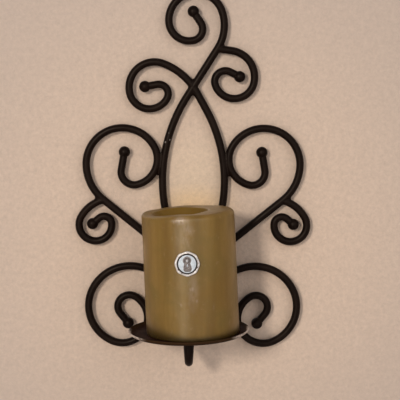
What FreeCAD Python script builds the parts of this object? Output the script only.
import FreeCAD, Part
import math
import os
import Sketcher

# Wall sconce: bent round-bar scrollwork with ball ends, a drip pan on a curved
# arm, a pillar candle and a decorative pin pressed into the candle.
#
# Frame: +Z up, +X to the viewer's right, -Y out of the wall towards the viewer.
# The wall is the plane y = 0. The origin is on the wall, midway between the two
# side screw holes of the back plate. All lengths are in millimetres.

Vector = FreeCAD.Vector

# ---------------------------------------------------------------------------
# Driving dimensions
# ---------------------------------------------------------------------------
DIMENSIONS = {
    # bar stock and ball ends
    "rod_diameter": 6.5,
    "ball_diameter": 9.8,
    "cope_clearance": 0.03,
    "bead_radius": 2.8,
    "bead_sink": 1.0,
    "hub_bead_sink": 0.3,
    # back plate, a flat steel cross against the wall
    "plate_thickness": 3.0,
    "plate_bar_width": 18.0,
    "plate_top": 44.0,
    "plate_bottom": 52.0,
    "plate_arm_reach": 31.0,
    "plate_arm_half_height": 8.0,
    "plate_corner_radius": 4.0,
    "screw_hole_diameter": 5.2,
    "side_screw_spacing": 44.0,
    "top_screw_height": 35.0,
    # where the bars meet on the centre line
    "hub_drop": 6.0,
    "tail_drop": 18.0,
    "diagonal_setback": 10.0,
    # directions in which the bars leave their roots, from +X towards +Z
    "left_stem_heading": 126.5,
    "right_stem_heading": 52.0,
    "upper_right_heading": -7.5,
    "mid_heading": 141.0,
    "small_heading": 194.5,
    "lower_heading": 160.5,
    # support arm
    "arm_offset": 2.7,
    "arm_reach": 65.0,
    "arm_top_drop": 22.0,
    "arm_low_drop": 73.6,
    "arm_root_bend": 22.0,
    "arm_root_turn": 79.0,
    "arm_front_bend": 11.0,
    "arm_root_diameter": 6.4,
    "arm_rise_diameter": 8.0,
    "arm_end_diameter": 9.7,
    "arm_pan_gap": 0.12,
    # drip pan
    "pan_drop": 45.8,
    "pan_rim_diameter": 98.8,
    "pan_floor_diameter": 85.2,
    "pan_depth": 2.8,
    "pan_sheet": 1.2,
    "pan_lean": 1.5,
    # rivet that holds the pan on the arm
    "rivet_head_diameter": 9.0,
    "rivet_head_height": 1.7,
    "rivet_shank_diameter": 4.0,
    "rivet_shank_length": 9.0,
    # pillar candle, nominally 3 in by 4 in
    "candle_diameter": 76.2,
    "candle_top_diameter": 75.4,
    "candle_height": 101.0,
    "candle_offset": 0.9,
    "candle_lean": 2.75,
    "candle_shoulder": 2.6,
    "pool_diameter": 50.0,
    "pool_floor_diameter": 42.0,
    "pool_depth": 6.5,
    "pool_offset": 6.0,
    "candle_recess_diameter": 24.0,
    "candle_recess_depth": 3.0,
    "candle_floor_gap": 0.12,
    "candle_foot_spare": 2.0,
    "wick_diameter": 2.4,
    "wick_stub": 0.6,
    "wick_bend_radius": 3.0,
    "wick_bend_turn": 40.0,
    # decorative candle pin
    "pin_height": 63.0,
    "pin_offset": 1.7,
    "medal_diameter": 20.0,
    "medal_thickness": 1.7,
    "medal_gap": 0.15,
    "medal_ring_diameter": 15.8,
    "medal_ring_width": 0.9,
    "medal_relief": 0.5,
    "figure_head_diameter": 3.8,
    "figure_head_rise": 3.4,
    "figure_robe_height": 6.6,
    "figure_robe_drop": 5.6,
    "figure_hem_width": 6.4,
    "figure_shoulder_width": 3.6,
    "shank_diameter": 1.6,
    "shank_length": 12.0,
    "shank_point": 2.5,
    "shank_clearance": 0.06,
}

# Each bar as it is bent from its root outwards: ("straight", length) or
# ("left" | "right", bend radius, angle turned). The two sides of the frame use
# the same bends in mirror image where one entry serves both.
BENDS = {
    "left_stem": [
        ("right", 133.0, 69.0),
        ("straight", 47.5),
        ("left", 36.0, 52.0),
        ("left", 23.0, 163.0),
        ("left", 17.0, 103.0),
        ("left", 9.5, 108.0),
        ("straight", 11.5),
    ],
    "right_stem": [
        ("left", 126.5, 67.0),
        ("straight", 16.0),
        ("left", 55.0, 7.0),
    ],
    "upper_left": [
        ("left", 55.0, 33.0),
        ("left", 21.5, 125.0),
        ("left", 17.0, 138.0),
        ("left", 8.0, 128.0),
        ("straight", 10.5),
    ],
    "upper_right": [
        ("straight", 12.0),
        ("right", 22.5, 94.0),
        ("right", 17.0, 150.0),
        ("right", 9.0, 135.0),
        ("straight", 9.0),
    ],
    "mid": [
        ("straight", 88.5),
        ("right", 39.5, 50.0),
        ("right", 31.0, 149.0),
        ("right", 22.5, 109.0),
        ("right", 11.0, 113.0),
        ("straight", 15.5),
    ],
    "small": [
        ("left", 31.0, 46.0),
        ("left", 14.0, 216.0),
        ("left", 6.5, 124.0),
        ("straight", 7.5),
    ],
    "lower": [
        ("straight", 44.0),
        ("left", 36.5, 83.0),
        ("left", 33.5, 93.0),
        ("left", 22.0, 172.0),
        ("left", 10.0, 161.0),
        ("straight", 10.6),
    ],
}

LEFT, RIGHT = -1, 1
SIDES = ((LEFT, "left"), (RIGHT, "right"))

EDGE_TOLERANCE = 1e-6
INTO_WAX = FreeCAD.Rotation(Vector(1, 0, 0), -90)

doc = FreeCAD.newDocument("WallSconce")
nodes = []


# ---------------------------------------------------------------------------
# The sheet, and sizes that carry both a value and an expression on the sheet
# ---------------------------------------------------------------------------
class Size:
    """A length or angle with its value now and its expression on the sheet."""

    def __init__(self, value, text):
        self.value = value
        self.text = text

    def combine(self, other, sign, result):
        text = other.text if isinstance(other, Size) else repr(float(other))
        return Size(result, f"({self.text} {sign} {text})")

    def __add__(self, other):
        return self.combine(other, "+", self.value + number(other))

    def __sub__(self, other):
        return self.combine(other, "-", self.value - number(other))

    def __mul__(self, other):
        return self.combine(other, "*", self.value * number(other))

    def __truediv__(self, other):
        return self.combine(other, "/", self.value / number(other))


def number(quantity):
    return quantity.value if isinstance(quantity, Size) else float(quantity)


def bend_alias(bar, index, word):
    return f"{bar}_{word}_{index}"


def fill_sheet():
    sheet = doc.addObject("Spreadsheet::Sheet", "Dims")
    entries = dict(DIMENSIONS)
    for bar, bends in BENDS.items():
        for index, bend in enumerate(bends, 1):
            words = ("length",) if bend[0] == "straight" else ("radius", "turn")
            for word, value in zip(words, bend[1:]):
                entries[bend_alias(bar, index, word)] = value
    for row, (alias, value) in enumerate(entries.items(), 1):
        sheet.set(f"A{row}", alias)
        sheet.set(f"B{row}", str(value))
        sheet.setAlias(f"B{row}", alias)
    doc.recompute()
    return sheet


sheet = fill_sheet()


def size(alias):
    return Size(float(sheet.get(alias)), f"Dims.{alias}")


rod_radius = size("rod_diameter") / 2
rod_plane = size("plate_thickness") + rod_radius


def bind(thing, prop, quantity):
    thing.setExpression(prop, quantity.text)


def keep(thing, label):
    """Names a finished piece; its label becomes the name of its file."""
    thing.Label = label
    nodes.append(thing)
    return thing


# ---------------------------------------------------------------------------
# Sketch and body helpers
# ---------------------------------------------------------------------------
def new_body(name):
    return doc.addObject("PartDesign::Body", name)


def new_sketch(body, name, role):
    plane = next(item for item in body.Origin.OriginFeatures if item.Role == role)
    sketch = body.newObject("Sketcher::SketchObject", name)
    sketch.AttachmentSupport = (plane, [""])
    sketch.MapMode = "FlatFace"
    return sketch


def constrain(sketch, kind, places, quantity, unit=""):
    """Adds a dimension to the sketch and binds it to the sheet."""
    value = math.radians(quantity.value) if unit else quantity.value
    index = sketch.addConstraint(Sketcher.Constraint(kind, *places, value))
    sketch.setExpression(f"Constraints[{index}]", quantity.text + unit)


def circle_sketch(body, name, role, *radii):
    """Circles about the sketch's origin."""
    sketch = new_sketch(body, name, role)
    for index, radius in enumerate(radii):
        sketch.addGeometry(Part.Circle(Vector(), Vector(0, 0, 1), radius.value))
        sketch.addConstraint(Sketcher.Constraint("Coincident", index, 3, -1, 1))
        constrain(sketch, "Radius", (index,), radius)
    return sketch


def corner_sketch(body, name, role, corners):
    """A closed outline of straight sides through corners given as pairs of sizes."""
    sketch = new_sketch(body, name, role)
    points = [Vector(number(u), number(v), 0) for u, v in corners]
    count = len(points)
    for index in range(count):
        sketch.addGeometry(Part.LineSegment(points[index], points[(index + 1) % count]))
    for index in range(count):
        joined = (index, 2, (index + 1) % count, 1)
        sketch.addConstraint(Sketcher.Constraint("Coincident", *joined))
    for index, pair in enumerate(corners):
        for kind, quantity in zip(("DistanceX", "DistanceY"), pair):
            if isinstance(quantity, Size):
                constrain(sketch, kind, (-1, 1, index, 1), quantity)
            elif quantity == 0:
                axis = -2 if kind == "DistanceX" else -1
                on_axis = Sketcher.Constraint("PointOnObject", index, 1, axis)
                sketch.addConstraint(on_axis)
    return sketch


def revolve(body, sketch):
    axis = next(item for item in body.Origin.OriginFeatures if item.Role == "Z_Axis")
    turned = body.newObject("PartDesign::Revolution", "Revolution")
    turned.Profile = sketch
    turned.ReferenceAxis = (axis, [""])
    turned.Angle = 360
    return turned


def pad(body, sketch, length):
    feature = body.newObject("PartDesign::Pad", "Pad")
    feature.Profile = sketch
    bind(feature, "Length", length)
    return feature


def tilt(angle):
    """A turn in the wall's plane, to the left as the viewer sees it, in degrees."""
    return FreeCAD.Rotation(Vector(0, -1, 0), angle)


def cut(name, base, tool):
    result = doc.addObject("Part::Cut", name)
    result.Base = base
    result.Tool = tool
    return result


def fuse_all(name, shapes):
    result = doc.addObject("Part::MultiFuse", name)
    result.Shapes = shapes
    return result


# ---------------------------------------------------------------------------
# Bars bent from round stock
# ---------------------------------------------------------------------------
def walk(bends, side=LEFT):
    """Follows bends from the origin along +X in the (u, v) plane.

    Yields one entry per bend: its geometry, which ends of it come first and
    last on the way, and the point and heading reached. With side RIGHT, left
    and right bends change places.
    """
    u, v, heading = 0.0, 0.0, 0.0
    for bend in bends:
        if bend[0] == "straight":
            start = Vector(u, v, 0)
            u += bend[1] * math.cos(heading)
            v += bend[1] * math.sin(heading)
            geometry = Part.LineSegment(start, Vector(u, v, 0))
            first, last = 1, 2
        else:
            turns_left = (bend[0] == "left") == (side == LEFT)
            hand = 1 if turns_left else -1
            radius, turn = bend[1], math.radians(bend[2])
            begin = heading - hand * math.pi / 2
            centre = Vector(u - radius * math.cos(begin), v - radius * math.sin(begin), 0)
            end = begin + hand * turn
            circle = Part.Circle(centre, Vector(0, 0, 1), radius)
            geometry = Part.ArcOfCircle(circle, min(begin, end), max(begin, end))
            first, last = (1, 2) if turns_left else (2, 1)
            u = centre.x + radius * math.cos(end)
            v = centre.y + radius * math.sin(end)
            heading += hand * turn
        yield geometry, first, last, (u, v, heading)


class Root:
    """Where a bar starts in the plane of the bars: x, z and its heading in degrees."""

    def __init__(self, x, z, heading):
        self.x = x
        self.z = z
        self.heading = heading

    def reach(self, bends, side, count=None):
        """The root of a bar that would go on from the end of the first count bends."""
        steps = list(walk(bends, side))
        u, v, turned = steps[(count or len(steps)) - 1][3]
        angle = math.radians(self.heading)
        x = self.x + u * math.cos(angle) - v * math.sin(angle)
        z = self.z + u * math.sin(angle) + v * math.cos(angle)
        return Root(x, z, self.heading + math.degrees(turned))

    def turned_to(self, heading):
        return Root(self.x, self.z, heading)

    def placement(self):
        return FreeCAD.Placement(Vector(self.x, -rod_plane.value, self.z), tilt(self.heading))


def mirrored(heading, side):
    return heading if side == LEFT else 180.0 - heading


def bar_body(name, bar, root, side=LEFT, extra=None):
    """A round bar swept along its bends, with extra clearance round it if asked."""
    radius = rod_radius if extra is None else rod_radius + extra
    body = new_body(name)
    path = new_sketch(body, name + "_path", "XZ_Plane")
    previous = None
    for index, (geometry, first, last, _) in enumerate(walk(BENDS[bar], side)):
        path.addGeometry(geometry)
        if previous is None:
            path.addConstraint(Sketcher.Constraint("Coincident", index, first, -1, 1))
        else:
            path.addConstraint(Sketcher.Constraint("Tangent", index - 1, previous, index, first))
        if BENDS[bar][index][0] == "straight":
            if previous is None:
                path.addConstraint(Sketcher.Constraint("Horizontal", index))
            constrain(path, "Distance", (index,), size(bend_alias(bar, index + 1, "length")))
        else:
            if previous is None:
                path.addConstraint(Sketcher.Constraint("PointOnObject", index, 3, -2))
            constrain(path, "Radius", (index,), size(bend_alias(bar, index + 1, "radius")))
            turn = size(bend_alias(bar, index + 1, "turn"))
            constrain(path, "Angle", (index,), turn, " * 1 deg")
        previous = last
    profile = circle_sketch(body, name + "_profile", "YZ_Plane", radius)
    pipe = body.newObject("PartDesign::AdditivePipe", name + "_pipe")
    pipe.Profile = profile
    pipe.Spine = (path, [f"Edge{index + 1}" for index in range(len(BENDS[bar]))])
    body.Placement = root.placement()
    return body


def ball_end(label, bar, root, body, side=LEFT):
    """A ball pushed over the end of a bar, with a blind socket that fits the bar."""
    tip = root.reach(BENDS[bar], side)
    ball = doc.addObject("Part::Sphere", label + "_blank")
    bind(ball, "Radius", size("ball_diameter") / 2)
    ball.Placement = tip.placement()
    keep(cut(label + "_socketed", ball, body), label)


def half_space(name, side):
    """A block that holds everything near the hub on one side of the centre plane."""
    block = doc.addObject("Part::Box", name)
    span = size("pan_rim_diameter")
    for prop in ("Length", "Width", "Height"):
        bind(block, prop, span)
    corner_x = 0.0 if side == RIGHT else -span.value
    block.Placement.Base = Vector(corner_x, -span.value / 2, -span.value)
    return block


class Bar:
    """One bent bar: its bends, root and side, and a thicker copy that copes others."""

    def __init__(self, name, bends, root, side=LEFT):
        self.name = name
        self.bends = bends
        self.root = root
        self.side = side
        self.tool = bar_body(name + "_tool", bends, root, side, size("cope_clearance"))

    def make(self, label, cope, ball=None):
        """The bar itself, trimmed by the piece it is welded to, and its ball end."""
        body = bar_body(self.name + "_bar", self.bends, self.root, self.side)
        keep(cut(self.name + "_coped", body, cope), label)
        if ball:
            ball_end(ball, self.bends, self.root, body, self.side)


def plan_bars():
    """Finds every bar's root: the hub, the tails' root or a place on another bar."""
    hub = Root(0.0, -number(size("hub_drop")), 0.0)
    tails = Root(0.0, -number(size("tail_drop")), 0.0)
    plan = {}

    def add(name, bends, root, side=LEFT):
        plan[name] = Bar(name, bends, root, side)

    add("left_stem", "left_stem", hub.turned_to(number(size("left_stem_heading"))))
    add("right_stem", "right_stem", hub.turned_to(number(size("right_stem_heading"))))
    add("upper_left", "upper_left", plan["right_stem"].root.reach(BENDS["right_stem"], LEFT))
    straight_end = plan["left_stem"].root.reach(BENDS["left_stem"], LEFT, 2)
    add("upper_right", "upper_right", straight_end.turned_to(number(size("upper_right_heading"))))
    for side, word in SIDES:
        heading = mirrored(number(size("mid_heading")), side)
        angle = math.radians(heading)
        setback = number(size("diagonal_setback"))
        mid_root = Root(setback * math.cos(angle), hub.z + setback * math.sin(angle), heading)
        add(f"mid_{word}", "mid", mid_root, side)
        branch = mid_root.reach(BENDS["mid"], side, 1)
        heading = mirrored(number(size("small_heading")), side)
        add(f"small_{word}", "small", branch.turned_to(heading), side)
        heading = mirrored(number(size("lower_heading")), side)
        add(f"lower_{word}", "lower", tails.turned_to(heading), side)
    return plan


def make_bars(bars):
    """The two crossing stems, and the scrolls that branch from them and from the hub."""
    halves = {side: half_space(f"{word}_half", side) for side, word in SIDES}
    stem_tools = {
        LEFT: cut("left_stem_cope", bars["left_stem"].tool, halves[RIGHT]),
        RIGHT: cut("right_stem_cope", bars["right_stem"].tool, halves[LEFT]),
    }
    bars["left_stem"].make("left_stem_scroll", halves[RIGHT], "top_ball")
    right_cope = fuse_all("right_stem_trimmers", [halves[LEFT], stem_tools[LEFT]])
    bars["right_stem"].make("right_stem", right_cope)
    bars["upper_left"].make("upper_left_scroll", stem_tools[LEFT], "upper_left_ball")
    bars["upper_right"].make("upper_right_scroll", stem_tools[LEFT], "upper_right_ball")
    for side, word in SIDES:
        bars[f"mid_{word}"].make(f"mid_{word}_scroll", stem_tools[side], f"mid_{word}_ball")
        mid_tool = bars[f"mid_{word}"].tool
        bars[f"small_{word}"].make(f"small_{word}_scroll", mid_tool, f"small_{word}_ball")
        bars[f"lower_{word}"].make(f"lower_{word}_scroll", halves[-side], f"lower_{word}_ball")


# ---------------------------------------------------------------------------
# Back plate
# ---------------------------------------------------------------------------
def hole_sketch(body, name, centres, radius):
    sketch = new_sketch(body, name, "XZ_Plane")
    for index, (u, v) in enumerate(centres):
        middle = Vector(u.value, v.value, 0)
        sketch.addGeometry(Part.Circle(middle, Vector(0, 0, 1), radius.value))
        constrain(sketch, "DistanceX", (-1, 1, index, 3), u)
        constrain(sketch, "DistanceY", (-1, 1, index, 3), v)
        constrain(sketch, "Radius", (index,), radius)
    return sketch


def make_back_plate():
    """A flat cross: its sketch starts at the lower left corner of the box round it."""
    reach = size("plate_arm_reach")
    half_bar = size("plate_bar_width") / 2
    half_arm = size("plate_arm_half_height")
    bottom = size("plate_bottom")
    top = bottom + size("plate_top")
    body = new_body("back_plate_body")
    left, right, far = reach - half_bar, reach + half_bar, reach * 2
    low, high = bottom - half_arm, bottom + half_arm
    corners = [
        (left, 0), (right, 0), (right, low), (far, low), (far, high), (right, high),
        (right, top), (left, top), (left, high), (0, high), (0, low), (left, low),
    ]
    outline = corner_sketch(body, "back_plate_outline", "XZ_Plane", corners)
    cross = pad(body, outline, size("plate_thickness"))
    doc.recompute()
    rounded = body.newObject("PartDesign::Fillet", "plate_corners")
    rounded.Base = (cross, end_corners(cross.Shape, far.value, top.value))
    bind(rounded, "Radius", size("plate_corner_radius"))
    doc.recompute()
    half_spacing = size("side_screw_spacing") / 2
    centres = [
        (reach - half_spacing, bottom),
        (reach + half_spacing, bottom),
        (reach, bottom + size("top_screw_height")),
    ]
    holes = body.newObject("PartDesign::Pocket", "screw_holes")
    holes.Profile = hole_sketch(body, "screw_hole_sketch", centres, size("screw_hole_diameter") / 2)
    holes.Type = "ThroughAll"
    holes.Midplane = True
    body.Placement.Base = Vector(-reach.value, 0, -bottom.value)
    return keep(body, "back_plate")


def end_corners(shape, far, top):
    """Names of the edges through the plate's thickness at the ends of its four arms."""
    names = []
    for index, edge in enumerate(shape.Edges, 1):
        start, end = (vertex.Point for vertex in edge.Vertexes)
        through = abs(start.x - end.x) < EDGE_TOLERANCE and abs(start.z - end.z) < EDGE_TOLERANCE
        at_side = min(abs(start.x), abs(start.x - far)) < EDGE_TOLERANCE
        at_end = min(abs(start.z), abs(start.z - top)) < EDGE_TOLERANCE
        if through and (at_side or at_end):
            names.append(f"Edge{index}")
    return names


# ---------------------------------------------------------------------------
# Support arm, drip pan and rivet
# ---------------------------------------------------------------------------
def pan_placement():
    """The middle of the pan's underside, leaning as the pan does."""
    low = size("pan_drop") + size("pan_sheet")
    base = Vector(-number(size("arm_offset")), -number(size("arm_reach")), -low.value)
    return FreeCAD.Placement(base, tilt(number(size("pan_lean"))))


class ArmCourse:
    """The arm's centre line: down the plate, out below the pan and up to the pan.

    It lies across the wall, with u running out from the wall and v up. The lower
    stretch leaves the root's bend falling a little and ends at the front bend.
    """

    def __init__(self):
        top = size("arm_top_drop")
        self.root_out = size("plate_thickness") + size("arm_root_diameter") / 2
        self.reach = size("arm_reach") - self.root_out
        self.rise = size("pan_drop") + size("pan_sheet") + size("arm_pan_gap") - top
        self.front_drop = size("arm_low_drop") - top - size("arm_front_bend")
        self.swept = math.radians(number(size("arm_root_turn")))
        self.fall = Vector(math.sin(self.swept), -math.cos(self.swept), 0)
        root_bend, front_bend = number(size("arm_root_bend")), number(size("arm_front_bend"))
        below = Vector(self.fall.y, -self.fall.x, 0)
        self.front = Vector(number(self.reach) - front_bend, -number(self.front_drop), 0)
        self.low_end = self.front + below * front_bend
        run = self.low_end.x - root_bend - below.x * root_bend
        self.low_start = self.low_end - self.fall * (run / self.fall.x)
        self.root = self.low_start - below * root_bend
        self.leg_end = Vector(0, self.root.y, 0)
        self.up_start = Vector(number(self.reach), self.front.y, 0)
        self.tip = Vector(number(self.reach), -number(self.rise), 0)

    def stands(self):
        """The places and directions at which the arm's sections stand."""
        down, up = Vector(0, -1, 0), Vector(0, 1, 0)
        low = [(self.low_start, self.fall), (self.low_end, self.fall)]
        return [(Vector(), down), (self.leg_end, down)] + low + [(self.up_start, up), (self.tip, up)]

    def draw(self, sketch):
        root_circle = Part.Circle(self.root, Vector(0, 0, 1), number(size("arm_root_bend")))
        front_circle = Part.Circle(self.front, Vector(0, 0, 1), number(size("arm_front_bend")))
        sketch.addGeometry(Part.LineSegment(Vector(), self.leg_end))
        sketch.addGeometry(Part.ArcOfCircle(root_circle, math.pi, math.pi + self.swept))
        sketch.addGeometry(Part.LineSegment(self.low_start, self.low_end))
        sketch.addGeometry(Part.ArcOfCircle(front_circle, math.pi + self.swept, 2 * math.pi))
        sketch.addGeometry(Part.LineSegment(self.up_start, self.tip))


def arm_path(course):
    """The constrained sketch of the arm's centre line, standing at the plate."""
    sketch = doc.addObject("Sketcher::SketchObject", "arm_path")
    course.draw(sketch)
    sketch.addConstraint(Sketcher.Constraint("Coincident", 0, 1, -1, 1))
    sketch.addConstraint(Sketcher.Constraint("Vertical", 0))
    sketch.addConstraint(Sketcher.Constraint("Vertical", 4))
    for before in range(4):
        sketch.addConstraint(Sketcher.Constraint("Tangent", before, 2, before + 1, 1))
    constrain(sketch, "Radius", (1,), size("arm_root_bend"))
    constrain(sketch, "Angle", (1,), size("arm_root_turn"), " * 1 deg")
    constrain(sketch, "Radius", (3,), size("arm_front_bend"))
    constrain(sketch, "DistanceY", (3, 3, -1, 1), course.front_drop)
    constrain(sketch, "DistanceX", (-1, 1, 4, 2), course.reach)
    constrain(sketch, "DistanceY", (4, 2, -1, 1), course.rise)
    start = Vector(-number(size("arm_offset")), -number(course.root_out), -number(size("arm_top_drop")))
    across = FreeCAD.Rotation(Vector(0, -1, 0), Vector(0, 0, 1), Vector(-1, 0, 0), "XYZ")
    sketch.Placement = FreeCAD.Placement(start, across)
    return sketch


def arm_section(path, index, place, along, diameter):
    """A round section of the arm, given in the sketch of its centre line."""
    ring = doc.addObject("Part::Circle", f"arm_section_{index}")
    bind(ring, "Radius", diameter / 2)
    turn = FreeCAD.Rotation(Vector(0, 0, 1), along)
    ring.Placement = path.Placement * FreeCAD.Placement(place, turn)
    return ring


def make_arm(rivet):
    """A round bar, drawn down from the thick end that carries the pan."""
    root = size("arm_root_diameter")
    diameters = [root, root, root, root, size("arm_rise_diameter"), size("arm_end_diameter")]
    course = ArmCourse()
    path = arm_path(course)
    sections = []
    for (place, along), diameter in zip(course.stands(), diameters):
        sections.append(arm_section(path, len(sections), place, along, diameter))
    swept = doc.addObject("Part::Sweep", "arm_sweep")
    swept.Sections = sections
    swept.Spine = (path, [f"Edge{index}" for index in range(1, 6)])
    swept.Solid = True
    keep(cut("arm_bored", swept, rivet), "support_arm")


def make_rivet():
    """A domed rivet whose head sits on the pan's floor."""
    head_radius = size("rivet_head_diameter") / 2
    head_height = size("rivet_head_height")
    shank_radius = size("rivet_shank_diameter") / 2
    shank = size("rivet_shank_length")
    body = new_body("pan_rivet_body")
    sketch = new_sketch(body, "rivet_outline", "XZ_Plane")
    seat, top = shank, shank + head_height
    # the dome is an arc through the head's rim whose centre is on the axis
    dome = (head_radius.value ** 2 + head_height.value ** 2) / (2 * head_height.value)
    rim_angle = math.acos(head_radius.value / dome)
    corners = [
        (0, 0), (shank_radius.value, 0), (shank_radius.value, seat.value),
        (head_radius.value, seat.value), (0, top.value),
    ]
    points = [Vector(u, v, 0) for u, v in corners]
    for first, last in ((0, 1), (1, 2), (2, 3)):
        sketch.addGeometry(Part.LineSegment(points[first], points[last]))
    circle = Part.Circle(Vector(0, top.value - dome, 0), Vector(0, 0, 1), dome)
    sketch.addGeometry(Part.ArcOfCircle(circle, rim_angle, math.pi / 2))
    sketch.addGeometry(Part.LineSegment(points[4], points[0]))
    for first, last in ((0, 1), (1, 2), (2, 3), (3, 4), (4, 0)):
        sketch.addConstraint(Sketcher.Constraint("Coincident", first, 2, last, 1))
    sketch.addConstraint(Sketcher.Constraint("Coincident", 0, 1, -1, 1))
    sketch.addConstraint(Sketcher.Constraint("PointOnObject", 3, 3, -2))
    sketch.addConstraint(Sketcher.Constraint("Horizontal", 0))
    sketch.addConstraint(Sketcher.Constraint("Vertical", 1))
    sketch.addConstraint(Sketcher.Constraint("Horizontal", 2))
    sketch.addConstraint(Sketcher.Constraint("Vertical", 4))
    constrain(sketch, "DistanceX", (-1, 1, 0, 2), shank_radius)
    constrain(sketch, "DistanceY", (-1, 1, 1, 2), seat)
    constrain(sketch, "DistanceX", (-1, 1, 2, 2), head_radius)
    constrain(sketch, "DistanceY", (-1, 1, 3, 2), top)
    revolve(body, sketch)
    drop = number(shank - size("pan_sheet"))
    body.Placement = pan_placement() * FreeCAD.Placement(Vector(0, 0, -drop), FreeCAD.Rotation())
    return keep(body, "pan_rivet")


def make_pan(rivet):
    """A shallow dish: a flat floor, a flare that starts tangent to it and a round edge."""
    sheet_metal = size("pan_sheet")
    floor = size("pan_floor_diameter") / 2
    edge_u = size("pan_rim_diameter") / 2 - sheet_metal / 2
    edge_v = size("pan_depth") + sheet_metal / 2
    body = new_body("drip_pan_body")
    sketch = new_sketch(body, "pan_section", "XZ_Plane")
    half_sheet = sheet_metal.value / 2
    out, rise = edge_u.value - floor.value, edge_v.value - sheet_metal.value
    flare = (out ** 2 + rise ** 2 - half_sheet ** 2) / (2 * (rise + half_sheet))
    slope = math.asin(out / (flare + half_sheet))
    up = Vector(0, 0, 1)
    middle = Vector(floor.value, sheet_metal.value + flare, 0)
    edge = Vector(edge_u.value, edge_v.value, 0)
    low = -math.pi / 2
    sketch.addGeometry(Part.LineSegment(Vector(0, 0, 0), Vector(floor.value, 0, 0)))
    outer = Part.Circle(middle, up, flare + sheet_metal.value)
    sketch.addGeometry(Part.ArcOfCircle(outer, low, low + slope))
    rolled = Part.Circle(edge, up, half_sheet)
    sketch.addGeometry(Part.ArcOfCircle(rolled, low + slope, slope + math.pi / 2))
    sketch.addGeometry(Part.ArcOfCircle(Part.Circle(middle, up, flare), low, low + slope))
    floor_end = Vector(floor.value, sheet_metal.value, 0)
    floor_middle = Vector(0, sheet_metal.value, 0)
    sketch.addGeometry(Part.LineSegment(floor_end, floor_middle))
    sketch.addGeometry(Part.LineSegment(floor_middle, Vector(0, 0, 0)))
    for joined in ((0, 2, 1, 1), (1, 2, 2, 1), (2, 2, 3, 2), (3, 1, 4, 1)):
        sketch.addConstraint(Sketcher.Constraint("Tangent", *joined))
    for joined in ((4, 2, 5, 1), (5, 2, 0, 1), (0, 1, -1, 1), (1, 3, 3, 3)):
        sketch.addConstraint(Sketcher.Constraint("Coincident", *joined))
    sketch.addConstraint(Sketcher.Constraint("Horizontal", 0))
    sketch.addConstraint(Sketcher.Constraint("Vertical", 5))
    constrain(sketch, "DistanceX", (-1, 1, 0, 2), floor)
    constrain(sketch, "DistanceY", (-1, 1, 4, 2), sheet_metal)
    constrain(sketch, "DistanceX", (-1, 1, 2, 3), edge_u)
    constrain(sketch, "DistanceY", (-1, 1, 2, 3), edge_v)
    revolve(body, sketch)
    body.Placement = pan_placement()
    keep(cut("drip_pan_bored", body, rivet), "drip_pan")


# ---------------------------------------------------------------------------
# Candle, wick and candle pin
# ---------------------------------------------------------------------------
def candle_placement(lean):
    """The middle of the candle's foot, just above the leaning pan floor."""
    across = number(size("candle_offset")) + number(size("arm_offset"))
    rise = across * math.tan(math.radians(number(size("pan_lean"))))
    low = -number(size("pan_drop")) + rise + number(size("candle_floor_gap"))
    base = Vector(number(size("candle_offset")), -number(size("arm_reach")), low)
    return FreeCAD.Placement(base, tilt(lean))


def shifted(placement, x, y, z):
    return placement * FreeCAD.Placement(Vector(x, y, z), FreeCAD.Rotation())


def candle_body():
    """The wax turned about its axis, with a wick bore and a foot recess.

    The foot runs candle_foot_spare below the origin, to be cut off along the pan floor.
    """
    bore = size("wick_diameter") / 2 + size("cope_clearance")
    recess = size("candle_recess_diameter") / 2
    foot = size("candle_diameter") / 2
    top = size("candle_top_diameter") / 2
    spare = size("candle_foot_spare")
    height = size("candle_height") + spare
    shoulder = size("candle_shoulder")
    body = new_body("candle_body")
    corners = [
        (bore, size("candle_recess_depth") + spare),
        (recess, size("candle_recess_depth") + spare),
        (recess, 0),
        (foot, 0),
        (top, height - shoulder),
        (top - shoulder, height),
        (bore, height),
    ]
    sketch = corner_sketch(body, "candle_section", "XZ_Plane", corners)
    revolve(body, sketch)
    body.Placement = shifted(candle_placement(number(size("candle_lean"))), 0, 0, -spare.value)
    return body


def pool_hollow():
    """What has melted away: a hollow with sloping sides, off the candle's axis."""
    hollow = doc.addObject("Part::Cone", "pool_hollow")
    depth, slack = size("pool_depth"), size("candle_floor_gap")
    bind(hollow, "Radius1", size("pool_floor_diameter") / 2)
    bind(hollow, "Radius2", size("pool_diameter") / 2)
    bind(hollow, "Height", depth + slack)
    floor = number(size("candle_height") - depth)
    lean = candle_placement(number(size("candle_lean")))
    hollow.Placement = shifted(lean, -number(size("pool_offset")), 0, floor)
    return hollow


def make_candle():
    body = candle_body()
    block = doc.addObject("Part::Box", "candle_foot_block")
    width = size("pan_rim_diameter")
    depth = size("candle_foot_spare") * 2
    for prop, length in (("Length", width), ("Width", width), ("Height", depth)):
        bind(block, prop, length)
    floor = candle_placement(number(size("pan_lean")))
    block.Placement = shifted(floor, -width.value / 2, -width.value / 2, -depth.value)
    footed = cut("candle_footed", body, block)
    melted = cut("candle_melted", footed, pool_hollow())
    hole = doc.addObject("Part::Cylinder", "pin_hole")
    bind(hole, "Radius", size("shank_diameter") / 2 + size("shank_clearance"))
    bind(hole, "Height", size("shank_length") + size("shank_point") / 2)
    hole.Placement = pin_placement() * FreeCAD.Placement(Vector(), INTO_WAX)
    keep(cut("candle_drilled", melted, hole), "candle")


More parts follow.
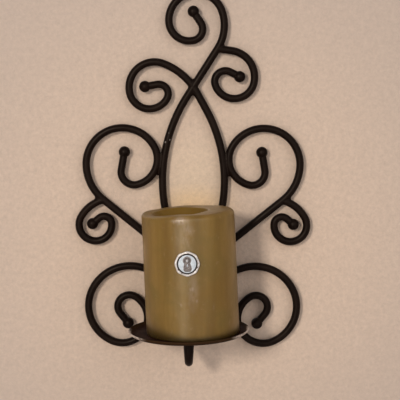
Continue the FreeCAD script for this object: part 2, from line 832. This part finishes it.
def make_wick():
    """A cotton wick through the whole candle, with a short bent stub in the pool."""
    bottom = size("candle_recess_depth")
    length = size("candle_height") - size("pool_depth") - bottom + size("wick_stub")
    bend, turn = size("wick_bend_radius"), size("wick_bend_turn")
    body = new_body("wick_body")
    path = new_sketch(body, "wick_path", "XZ_Plane")
    top = Vector(0, length.value, 0)
    path.addGeometry(Part.LineSegment(Vector(0, 0, 0), top))
    circle = Part.Circle(Vector(-bend.value, length.value, 0), Vector(0, 0, 1), bend.value)
    path.addGeometry(Part.ArcOfCircle(circle, 0, math.radians(turn.value)))
    path.addConstraint(Sketcher.Constraint("Coincident", 0, 1, -1, 1))
    path.addConstraint(Sketcher.Constraint("Vertical", 0))
    path.addConstraint(Sketcher.Constraint("Tangent", 0, 2, 1, 1))
    constrain(path, "Distance", (0,), length)
    constrain(path, "Radius", (1,), bend)
    constrain(path, "Angle", (1,), turn, " * 1 deg")
    pipe = body.newObject("PartDesign::AdditivePipe", "wick_pipe")
    pipe.Profile = circle_sketch(body, "wick_profile", "XY_Plane", size("wick_diameter") / 2)
    pipe.Spine = (path, ["Edge1", "Edge2"])
    body.Placement = shifted(candle_placement(number(size("candle_lean"))), 0, 0, bottom.value)
    keep(body, "wick")


def pin_placement():
    """The back of the medallion, touching distance in front of the candle's wall."""
    foot, top = size("candle_diameter") / 2, size("candle_top_diameter") / 2
    share = number(size("pin_height")) / number(size("candle_height"))
    wall = foot.value + (top.value - foot.value) * share
    face = -(wall + number(size("medal_gap")))
    lean = candle_placement(number(size("candle_lean")))
    return shifted(lean, -number(size("pin_offset")), face, number(size("pin_height")))


def raised_sketch(sketch, height, rise=0.0, across=0.0):
    """Lifts a sketch off the medallion's back, and moves it over the medallion's face."""
    place = Vector(across, rise, height.value)
    sketch.AttachmentOffset = FreeCAD.Placement(place, FreeCAD.Rotation())
    return sketch


def make_medallion():
    """A round disc with a raised ring and a plain robed figure in low relief."""
    thickness, relief = size("medal_thickness"), size("medal_relief")
    ring = size("medal_ring_diameter") / 2
    body = new_body("medallion_body")
    pad(body, circle_sketch(body, "medal_disc", "XZ_Plane", size("medal_diameter") / 2), thickness)
    inner = ring - size("medal_ring_width")
    band = circle_sketch(body, "medal_ring", "XZ_Plane", ring, inner)
    pad(body, raised_sketch(band, thickness), relief)
    head = circle_sketch(body, "figure_head", "XZ_Plane", size("figure_head_diameter") / 2)
    pad(body, raised_sketch(head, thickness, size("figure_head_rise").value), relief)
    hem, shoulder = size("figure_hem_width"), size("figure_shoulder_width")
    height = size("figure_robe_height")
    inset = (hem - shoulder) / 2
    corners = [(0, 0), (hem, 0), (hem - inset, height), (inset, height)]
    robe = corner_sketch(body, "figure_robe", "XZ_Plane", corners)
    drop = -size("figure_robe_drop").value
    pad(body, raised_sketch(robe, thickness, drop, -hem.value / 2), relief)
    body.Placement = pin_placement()
    keep(body, "candle_pin_medallion")


def make_shank():
    """The pin's pointed shank, pushed into the wax behind the medallion."""
    radius = size("shank_diameter") / 2
    length, point = size("shank_length"), size("shank_point")
    body = new_body("shank_body")
    corners = [(0, 0), (radius, 0), (radius, length - point), (0, length)]
    revolve(body, corner_sketch(body, "shank_section", "XZ_Plane", corners))
    body.Placement = pin_placement() * FreeCAD.Placement(Vector(), INTO_WAX)
    keep(body, "candle_pin_shank")


# ---------------------------------------------------------------------------
# Weld beads
# ---------------------------------------------------------------------------
def weld(label, places, neighbours):
    """Lumps of weld metal, cut away where the joined pieces pass through them."""
    lumps = []
    for index, (x, y, z) in enumerate(places):
        lump = doc.addObject("Part::Sphere", f"{label}_lump_{index}")
        bind(lump, "Radius", size("bead_radius"))
        lump.Placement.Base = Vector(x, y, z)
        lumps.append(lump)
    metal = fuse_all(label + "_metal", lumps)
    for index, neighbour in enumerate(neighbours):
        metal = cut(f"{label}_trim_{index}", metal, neighbour)
    keep(metal, label)


def crotch(x, z, heading, other_heading, sink="bead_sink"):
    """The place for a bead between two bars that leave one point."""
    gap = (other_heading - heading + 180) % 360 - 180
    half, middle = math.radians(abs(gap) / 2), math.radians(heading + gap / 2)
    reach = rod_radius.value / math.sin(half) - number(size(sink))
    return x + reach * math.cos(middle), -rod_plane.value, z + reach * math.sin(middle)


def both_crotches(root, parent_heading):
    """Bead places on both sides of a branch that leaves a bar at its root."""
    turned = (parent_heading, parent_heading + 180)
    return [crotch(root.x, root.z, root.heading, heading) for heading in turned]


def make_welds(bars, plate):
    """Welds at the crossing, the branches, the touching bars, the hub and the arm."""
    stem = bars["left_stem"]
    crossing = bars["upper_left"].root
    along_stem = stem.root.reach(BENDS["left_stem"], LEFT, 2).heading
    opposite = crossing.turned_to(crossing.heading + 180)
    places = both_crotches(crossing, along_stem) + both_crotches(opposite, along_stem)
    crossing_bars = [stem.tool, bars["right_stem"].tool, bars["upper_left"].tool]
    weld("crossing_welds", places, crossing_bars)
    branch = bars["upper_right"]
    weld("upper_branch_welds", both_crotches(branch.root, along_stem), [stem.tool, branch.tool])
    for side, word in SIDES:
        parent, branch = bars[f"mid_{word}"], bars[f"small_{word}"]
        places = both_crotches(branch.root, parent.root.heading)
        weld(f"{word}_branch_welds", places, [parent.tool, branch.tool])
    hub, tails = stem.root, bars["lower_left"].root
    roots = [bars[name].tool for name in ("left_stem", "right_stem", "lower_left", "lower_right")]
    places = [
        crotch(hub.x, hub.z, hub.heading, bars["right_stem"].root.heading, "hub_bead_sink"),
        crotch(tails.x, tails.z, tails.heading, bars["lower_right"].root.heading, "hub_bead_sink"),
    ]
    weld("hub_welds", places, roots + [plate])
    weld("arm_welds", arm_weld_places(), [straight_leg(), plate])


def arm_weld_places():
    """One bead on each side of the arm's leg, in the corner between it and the plate."""
    beside = number(size("arm_root_diameter")) / 2 + number(size("bead_sink")) / 2
    height = -number(size("arm_top_drop")) - 2 * number(size("bead_radius"))
    face = -number(size("plate_thickness")) - number(size("bead_sink"))
    return [(-number(size("arm_offset")) + hand * beside, face, height) for hand in (LEFT, RIGHT)]


def straight_leg():
    """A round tool a little thicker than the straight leg of the arm on the plate."""
    leg = doc.addObject("Part::Cylinder", "arm_leg_tool")
    radius = size("arm_root_diameter") / 2
    bind(leg, "Radius", radius + size("cope_clearance"))
    bind(leg, "Height", size("pan_drop") - size("arm_top_drop"))
    out = number(size("plate_thickness") + radius)
    leg.Placement.Base = Vector(-number(size("arm_offset")), -out, -number(size("pan_drop")))
    return leg


# ---------------------------------------------------------------------------
# The whole sconce
# ---------------------------------------------------------------------------
def check(things):
    """Stops before anything is written if an object failed or a piece is not sound."""
    for thing in doc.Objects:
        if "Invalid" in thing.State or "Error" in thing.State:
            raise RuntimeError(f"{thing.Name} failed: {thing.State}")
    for thing in things:
        shape = thing.Shape
        if shape.isNull() or not shape.isValid() or not shape.Solids:
            raise RuntimeError(f"{thing.Label} is not a sound solid")
        print(f"{thing.Label:24s} {len(shape.Solids)} solid(s) {shape.Volume:10.1f} mm3")


def build():
    bars = plan_bars()
    make_bars(bars)
    plate = make_back_plate()
    rivet = make_rivet()
    make_arm(rivet)
    make_pan(rivet)
    make_candle()
    make_wick()
    make_medallion()
    make_shank()
    make_welds(bars, plate)
    doc.recompute()
    check(nodes)
    os.makedirs("parts", exist_ok=True)
    for node in nodes:
        node.Shape.exportStep(f"parts/{node.Label}.step")


build()
